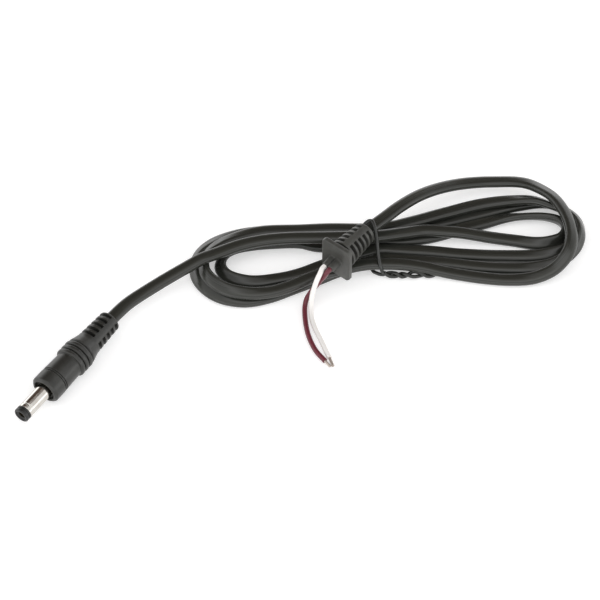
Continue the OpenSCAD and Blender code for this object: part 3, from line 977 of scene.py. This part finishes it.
@dataclass
class Cable:
    """The flat twin cable from the plug's grip, round the hank, to the grommet."""

    section: Section = Section(4.8 * MM, 2.8 * MM, 0.025, 48, 0.74)
    spacing: float = 1.6
    swept_spacing: float = 1.25 * MM
    tie_at: tuple[float, float] = (108.05, -57.3)
    tie_across: tuple[float, float] = (0.5519, -0.8339)
    tie_rise: float = 1.4
    tie_reach: float = 5.5
    held: tuple[int, int] = (12, 22)
    eased: int = 6
    neighbours: int = 9
    packing: float = 0.98
    soft_lift: float = 0.6
    longest_push: float = 0.6
    give: float = 0.4
    fall: float = 0.8
    fade: float = 0.985
    stiffness: float = 0.25
    start: list[tuple] = field(default_factory=lambda: [
        (20.5, 0, 5.75), (24.5, 0, 5.75), (26, 0, 5.75), (33.5, -0.5, 5.7), (42, -2.6, 5.7),
        (51, -6, 6.4), (60, -10, 7.05), (68.5, -14, 7.05), (76.5, -18.5, 7.05),
        (83, -24, 7.05), (89, -31, 7.05), (95.2, -39.8, 7), (100.3, -47, 7),
        (107.2, -56.5, 7)])
    # x, y, and where the cable isn't flat on the table, its height and roll
    turns: list[tuple] = field(default_factory=lambda: [
        # first right turn, the tight inner one: out on the near side, back on the far side
        (120, -66.3, 4.2), (124.4, -74, 4.2), (127.5, -79.3, 3.8), (132.4, -88.1, 2.2),
        (136.5, -96.1, 1.5, 5), (139.3, -103.2, 1.8, 25), (142.2, -107.1, 2.1, 50),
        (146.1, -109.7, 2.3, 65), (150.6, -108.9, 2.3, 70), (153.1, -105.1, 2.3, 70),
        (152.1, -100.1, 2.2, 60), (147.2, -92.1, 1.9, 45), (142.6, -86.5, 1.6, 20),
        (136.6, -81.7, 1.5), (129.8, -76.4), (124, -72.4), (118.2, -67.6), (107.9, -56.3),
        # inner left turn
        (95.6, -39.5), (93.3, -32.5), (87.2, -23.7), (82.3, -18.5, 1.6, 10),
        (76.9, -14.9, 1.9, 30), (72.1, -14, 2.1, 45), (67.8, -15.7, 2.1, 45), (65.8, -20.1, 2, 40),
        (68.1, -28.1, 1.7, 20), (75.3, -36), (80.9, -40.7), (89.1, -45.9), (105, -58.1),
        # outer right turn, lowest
        (112.9, -70.8), (119.9, -83.1), (127.3, -95.3), (135.2, -107.1, 1.6, 15),
        (142.2, -113.4, 1.9, 45), (149.4, -114.7, 2.2, 65), (154.9, -112.2, 2.3, 70),
        (157.6, -106.4, 2.2, 60), (156.5, -97.3, 1.9, 40), (150.6, -88.2, 1.6, 15), (140.6, -79.4),
        (128.8, -69.5), (117.5, -59.6), (112.4, -53.5),
        # outer left turn, lowest
        (103.8, -38.5), (97.9, -29.5), (90.2, -18.3), (83.2, -11.3, 1.6, 10),
        (75.8, -6.9, 1.7, 25), (68.9, -6.1, 2, 45), (63.2, -8.9, 2.1, 50), (58.8, -14.6, 2.1, 50),
        (57.2, -22.9, 1.8, 35), (60.2, -31.5, 1.5, 15), (66.5, -37.7), (73.8, -42.1),
        (82.7, -47.2), (92.2, -52.3), (101.9, -60.2),
        # second right turn, on top of the lowest
        (109.8, -72.6), (115.6, -85.7, 1.5), (122.4, -98.2), (128.1, -107, 1.6, 10),
        (134.2, -113.6, 2.5, 30), (141.7, -116.1, 4.2, 50), (148.7, -114.7, 4.4, 60),
        (154.1, -110.6, 4.6, 60), (156.6, -103.9, 4.6, 55), (156.1, -95.3, 4.2, 35),
        (150.3, -86.1, 3.8, 10), (143.1, -77.9, 3.6), (130.6, -68.4, 3.8), (117.6, -59.5, 4.2),
        (111.9, -53.7, 4.2),
        # second left turn, on top of the lowest
        (102.6, -39.3, 4.2), (96.2, -30.6, 4.2), (88.2, -19.7, 4.2), (82, -14.4, 4.3, 10),
        (75, -10.6, 4.4, 25), (68.8, -9.3, 4.5, 45), (63.5, -10.5, 4.6, 50),
        (59.1, -14.6, 4.8, 50), (57.5, -23.3, 4.5, 35), (61, -31.4, 4.2, 15), (66.3, -37.9, 4.2),
        (72.3, -42.2, 4.2), (81.1, -46.9, 4.2), (90.2, -53.6, 4.2), (99.1, -61.8, 4),
        # last right turn, over the others, up to the grommet
        (106.7, -74.5, 3), (111.2, -84.2, 1.7), (114.9, -94.2), (119.5, -103.7, 1.6),
        (124.7, -110.8, 2.2, 10), (130.3, -115.2, 4, 10), (136.1, -116.9, 6.5, 15),
        (142.6, -115.7, 7.2, 20), (147.9, -112.4, 7.4, 22), (153.1, -106.5, 7.4, 22),
        (156.9, -98.8, 7.2, 20), (159.2, -87.4, 5.8, 10), (154.3, -76.5, 4.8, 5),
        (146.9, -69, 6.2), (138.4, -63.8, 8.4)])
    rise: list[tuple] = field(default_factory=lambda: [
        (129.3, -60.3, 10.6), (119.4, -58.1, 12.4), (110.7, -56.8, 13.4),
        (102.3, -55.2, 13.75), (97, -54.65, 13.75)])

    def route(self) -> np.ndarray:
        """Joins the listed stretches.

        Returns:
            Evenly spaced rows of x, y, z in millimetres and the section's roll in degrees.
        """
        level = (0.0, 0.0, self.section.thick / MM / 2, 0.0)
        rows = [(*p, *level[len(p):]) for p in self.start + self.turns + self.rise]
        return smooth_line(np.array(rows, float), self.spacing)

    def floor_under(self, line: np.ndarray) -> np.ndarray:
        """Finds how low each point can lie: on the table, or over the tie's wire.

        Args:
            line: The route.

        Returns:
            The lowest height of each point.
        """
        across = (line[:, :2] - np.array(self.tie_at)) @ np.array(self.tie_across)
        half = self.half_extent(line[:, 3])[1]
        return half + self.tie_rise * np.exp(-((across / self.tie_reach) ** 2))

    def half_extent(self, roll_deg: np.ndarray) -> tuple[np.ndarray, np.ndarray]:
        """Finds the room that a rolled section takes up.

        Args:
            roll_deg: The roll at each point.

        Returns:
            Half the width and half the height at each point, in millimetres.
        """
        c, s = np.abs(np.cos(np.radians(roll_deg))), np.abs(np.sin(np.radians(roll_deg)))
        wide, thick = self.section.width / MM / 2, self.section.thick / MM / 2
        q = 2 / (2 - self.section.full)
        return (((wide * c) ** q + (thick * s) ** q) ** (1 / q),
                ((wide * s) ** q + (thick * c) ** q) ** (1 / q))

    def settle(self, line: np.ndarray, rounds: int = 220) -> np.ndarray:
        """Lets the cable settle: strands part where they meet, and lie down.

        Args:
            line: The given route.
            rounds: Relaxation steps.

        Returns:
            The settled route.
        """
        count = len(line)
        index = np.arange(count)
        step = self.eased - 1
        free = np.clip(np.minimum((index - self.held[0]) / step,
                                  (count - 1 - self.held[1] - index) / step), 0, 1)[:, None]
        apart = np.abs(index[:, None] - index[None, :]) > self.neighbours
        wide, tall = self.half_extent(line[:, 3])
        reach_h = (wide[:, None] + wide[None, :]) * self.packing
        reach_v = (tall[:, None] + tall[None, :]) * self.packing
        floor = self.floor_under(line)
        shift = np.zeros((count, 3))
        for turn in range(rounds):
            place = line[:, :3] + shift
            gap = place[:, None, :] - place[None, :, :]
            flat = np.hypot(gap[..., 0], gap[..., 1])
            near = np.sqrt((flat / reach_h) ** 2 + (gap[..., 2] / reach_v) ** 2)
            press = np.where(apart & (near < 1), 1 - near, 0)
            lift = np.clip(gap[..., 2] / self.soft_lift, -1, 1)
            up = (press * lift * reach_v * np.clip(1.2 - flat / reach_h, 0, 1)).sum(1)
            aside = press * reach_h * np.clip(flat / reach_h, 0, 1) / np.maximum(flat, 0.05)
            push = np.stack([(aside * gap[..., 0]).sum(1), (aside * gap[..., 1]).sum(1), up], 1)
            size = np.linalg.norm(push, axis=1, keepdims=True)
            push *= np.minimum(1.0, self.longest_push / np.maximum(size, 1e-9)) * self.give
            push[:, 2] += np.maximum(floor - place[:, 2], 0) * self.fall
            shift = (shift * self.fade + push) * free
            for _ in range(3 if turn < rounds * 0.8 else 1):
                shift[1:-1] += self.stiffness * (shift[:-2] - 2 * shift[1:-1] + shift[2:])
        made = line.copy()
        made[:, :3] += shift
        made[:, 2] = np.where(free[:, 0] > 0, np.maximum(made[:, 2], floor), made[:, 2])
        return made

    def build(self, pieces_on_it: list[Object]) -> Object:
        """Args:
            pieces_on_it: The fitting and the tie that the cable carries; not used.

        Returns:
            The cable's object.
        """
        line = self.settle(self.route())
        fine = smooth_line(np.hstack([line[:, :3] * MM, line[:, 3:]]), self.swept_spacing)
        path = fine[:, :3]
        mesh = self.section.sweep("twin_cable", path, JACKET_VINYL, np.radians(fine[:, 3]))
        made = piece("twin_cable", mesh, JACKET_VINYL, "cable_jacket",
                     "cord", "cord_hank", "cord_run")
        log.info("cable length %.3f m", length_of(path))
        return made


# --- Grommet and leads ---


@dataclass
class Grommet:
    """The strain relief grommet that would sit in a housing's slot."""

    place: Placement = Placement(84.2 * MM, -53.3 * MM, 13.75 * MM, -6.0)
    width: float = 12.2
    height: float = 14.4
    chamfer: float = 1.0
    plate: float = 1.8
    neck: float = 2.0
    boot_front: float = 5.3
    boot_end: float = 4.0
    boot: float = 13.2
    spine_turn_deg: float = 10.0
    edge: float = 0.35
    lead_offset: float = 1.15
    lead_starts: Point = (-0.5, -4.4, -5.6)
    boss: Profile = field(default_factory=lambda: [
        (-4.4, 0, 0), (-4.4, 1.3, 0.3), (-0.4, 1.5, 0.3), (0.5, 1.9, 0), (0.5, 0, 0)])

    def moulded(self, name: str, mesh: Mesh, *nodes: str, aside: float = 0.0) -> Object:
        """Puts a part of the moulding in its place.

        Args:
            name: The piece's name.
            mesh: Its mesh in the grommet's own frame.
            nodes: The CAD nodes that it replaces.
            aside: Its distance from the grommet's axis.

        Returns:
            The piece.
        """
        mesh.transform(self.place.matrix @ Matrix.Translation((0, aside * MM, 0)))
        return piece(name, outwards(mesh), RELIEF_VINYL, "relief_moulding", *nodes)

    def plate_mesh(self) -> Mesh:
        """Builds the flange plate, a board with cut corners.

        Returns:
            The plate's mesh in the grommet's own frame.
        """
        w, h, c, t = self.width / 2, self.height / 2, self.chamfer, self.plate
        outline = [(-w + c, -h), (w - c, -h), (w, -h + c), (w, h - c), (w - c, h), (-w + c, h),
                   (-w, h - c), (-w, -h + c)]
        points = [(x * MM, y * MM, z * MM) for x in (0, t) for y, z in outline]
        count = len(outline)
        faces = [list(range(count))[::-1], [count + k for k in range(count)]]
        faces += [[k, (k + 1) % count, count + (k + 1) % count, count + k] for k in range(count)]
        mesh = bpy.data.meshes.new("plate")
        mesh.from_pydata(points, [], faces)
        return mesh

    def build(self) -> Object:
        """Builds the boot, neck, plate and bosses as one moulding.

        Returns:
            The grommet's object.
        """
        start = self.plate + self.neck
        end = start + self.boot
        corners = [(1.0, 0, 0), (1.0, 4.2, 0), (start, 4.2, 0.15), (start, self.boot_front, 0.3),
                   (end, self.boot_end, 0.55), (end, 0, 0)]
        slots = Slots(first=(start + SLOT_START) * MM, turn_deg=self.spine_turn_deg)
        boot = slots.carve("grommet_boot", filleted(metres(corners)), RELIEF_VINYL)
        made = self.moulded("grommet_boot", creased(boot), "grommet")
        plate = self.moulded("grommet_plate", self.plate_mesh())
        bevel = plate.modifiers.new("edges", "BEVEL")
        bevel.width, bevel.segments, bevel.limit_method = self.edge * MM, 3, "ANGLE"
        plate.data.shade_smooth()
        for name, side in (("lead_boss_1", 1), ("lead_boss_2", -1)):
            self.moulded(name, turned_mesh(name, filleted(metres(self.boss)), 40),
                         aside=side * self.lead_offset)
        return made


@dataclass
class StrippedLead:
    """One insulated lead from the grommet to its tinned end."""

    name: str
    finish: Finish
    slot: str
    side: float
    route: list[Point]
    tip: Point
    nodes: tuple[str, str]
    diameter: float = 1.8 * MM
    strands: Section = Section(1.0 * MM, 1.0 * MM)

    def build(self, grommet: Grommet) -> None:
        """Args:
            grommet: The grommet that the lead leaves.
        """
        start = [grommet.place.point(x * MM, self.side * grommet.lead_offset * MM)
                 for x in grommet.lead_starts]
        path = smooth_line(np.array(start + metres(self.route)), 0.6 * MM)
        mesh = Section(self.diameter, self.diameter, sides=24).sweep(self.name, path, self.finish)
        lead = piece(self.name, mesh, self.finish, self.slot, self.nodes[0])
        along = (path[-1] - path[-3]) / np.linalg.norm(path[-1] - path[-3])
        end = smooth_line(np.array([path[-1] - along * MM, path[-1], *metres([self.tip])]),
                          0.2 * MM)
        name = f"{self.name}_strands"
        tinned = piece(name, self.strands.sweep(name, end, TINNED), TINNED, "tinned_copper",
                       self.nodes[1])


# --- Twist tie ---


@dataclass
class TwistTie:
    """The covered wire round the waist of the hank, with its twisted tail."""

    hank: Placement = Placement(107.5 * MM, -56.5 * MM, 0.0, -56.5)
    wire: Section = Section(1.3 * MM, 1.3 * MM)
    upper_tail: list[Point] = field(default_factory=lambda: [
        (20.49, -13.69, 1.5), (18.9, -13.54, 1.9), (16.98, -12.94, 1.25), (14.85, -13.39, 0.68),
        (12, -14.34, 1.25), (9.19, -13.76, 1.95), (7.82, -13.03, 1.3), (6.38, -13.62, 0.68),
        (3.67, -14.07, 1.25), (1.85, -13.05, 2)])
    loop: list[Point] = field(default_factory=lambda: [
        (1.2, -13.7, 3.1), (0.7, -13.4, 4.6), (0.2, -12.5, 6.2), (-0.2, -11.2, 7.9),
        (-0.6, -9.3, 10.6), (-0.95, -7.4, 13.2), (-1.4, -5.5, 15.1), (-1.9, -3, 16.1),
        (-2.6, -1.6, 16.35), (-3.6, -1.4, 16.2), (-4.7, -2.1, 15.9), (-5.6, -2.6, 14.9),
        (-6, -1.6, 13), (-5.6, 0.6, 10.9), (-4.6, 3.4, 8.9), (-3.2, 6.2, 6.6),
        (-2, 8, 4.4), (-1, 8.5, 2.2), (-0.4, 7.8, 0.75), (0.4, 4, 0.7), (-0.6, -4, 0.7),
        (-2.4, -9, 0.7), (-2, -11.2, 0.7)])
    lower_tail: list[Point] = field(default_factory=lambda: [
        (-0.5, -12.3, 0.66), (1.29, -12.9, 0.68), (3.82, -12.63, 1.35), (6.38, -13.62, 1.95),
        (7.75, -14.35, 1.3), (9.19, -13.76, 0.68), (12.06, -12.24, 1.35), (14.85, -13.39, 1.95),
        (16.94, -14.14, 1.25), (18.9, -13.54, 0.7), (19.76, -13.1, 0.8)])

    def build(self) -> Object:
        """Builds the wire: one tail's end, the loop, and the other tail's end.

        Returns:
            The tie's wire.
        """
        route = metres(self.upper_tail + self.loop + self.lower_tail)
        path = smooth_line(np.array([self.hank.matrix @ Vector(p) for p in route]), 0.3 * MM)
        path[:, 2] = np.maximum(path[:, 2], self.wire.width / 2)
        return piece("tie_wire", self.wire.sweep("tie_wire", path, TIE_VINYL), TIE_VINYL,
                     "tie_cover", "twist_tie")


# --- The whole ---


def main() -> None:
    """Builds the stage and the lead's pieces."""
    logging.basicConfig(level=logging.INFO, format="%(message)s")
    studio = Studio()
    studio.camera()
    grommet = Grommet()
    fitting = grommet.build()
    tie = TwistTie().build()
    Cable().build([fitting, tie])
    StrippedLead("white_lead", WHITE_VINYL, "white_insulation", 1.0, [
        (76.8, -51.7, 12.6), (75.6, -51.4, 10.6), (74.6, -51.1, 8), (73, -51.2, 5.4),
        (71, -52, 2.9), (69, -53.3, 1.5), (66.5, -55.3, 0.95), (63.4, -58.8, 0.9),
        (60, -63.5, 0.9), (57.2, -67.3, 0.9), (55.6, -69.6, 0.9)],
        (53.4, -72.5, 0.55), ("lead_white", "end_white")).build(grommet)
    StrippedLead("red_lead", RED_VINYL, "red_insulation", -1.0, [
        (78.1, -52.8, 11.1), (77.5, -51.5, 8.5), (76.4, -50.6, 6.2), (74.8, -49.7, 4.2),
        (72.2, -49.4, 2.6), (69.8, -50.2, 1.4), (66.7, -52.2, 0.95), (63.3, -54.9, 0.9),
        (60.3, -57.7, 0.9), (57.7, -60.8, 0.9), (55.4, -64.4, 0.9), (53.6, -69.1, 0.9)],
        (52.8, -71.7, 0.55), ("lead_red", "end_red")).build(grommet)
    Plug().build()
    studio.build()


if __name__ == "__main__":
    main()
